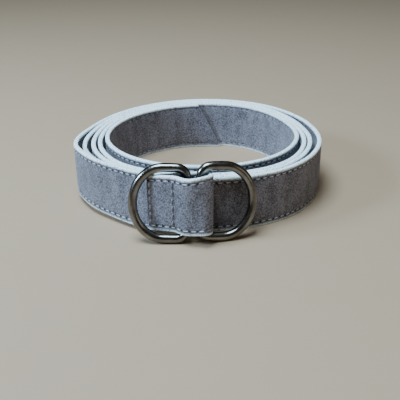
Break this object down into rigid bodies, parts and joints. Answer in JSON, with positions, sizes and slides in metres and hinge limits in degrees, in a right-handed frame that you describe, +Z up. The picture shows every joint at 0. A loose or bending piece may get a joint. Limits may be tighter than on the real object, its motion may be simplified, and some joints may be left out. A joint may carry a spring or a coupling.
{
  "type": "double ring belt",
  "caption": "Narrow stitched leather belt rolled into a loose coil, its sewn end holding two D-shaped metal rings.",
  "frame": {"origin": "on the resting plane, under the middle of the whole belt", "axes": "+Z up from the resting plane, +Y from the rings to the back of the coil, +X to the right seen from the rings"},
  "size_m": [0.0952, 0.1, 0.0272],
  "materials": {
    "leather": "matte suede with a napped surface and stitched edges",
    "ring_metal": "dark polished nickel plating"
  },
  "bodies": {
    "strap": {"strap": "leather"},
    "left_ring": {"left_ring": "ring_metal"},
    "right_ring": {"right_ring": "ring_metal"}
  },
  "joints": [
    {"name": "left_ring_swing", "type": "hinge", "parent": "strap", "child": "left_ring", "pos_m": [-0.00434, -0.04436, 0.01336], "axis": [0.0262, 0.2078, 0.9778], "range_deg": [0, 85]},
    {"name": "right_ring_swing", "type": "hinge", "parent": "strap", "child": "right_ring", "pos_m": [-0.00004, -0.04436, 0.01401], "axis": [-0.0349, -0.2078, -0.9776], "range_deg": [0, 100]}
  ]
}
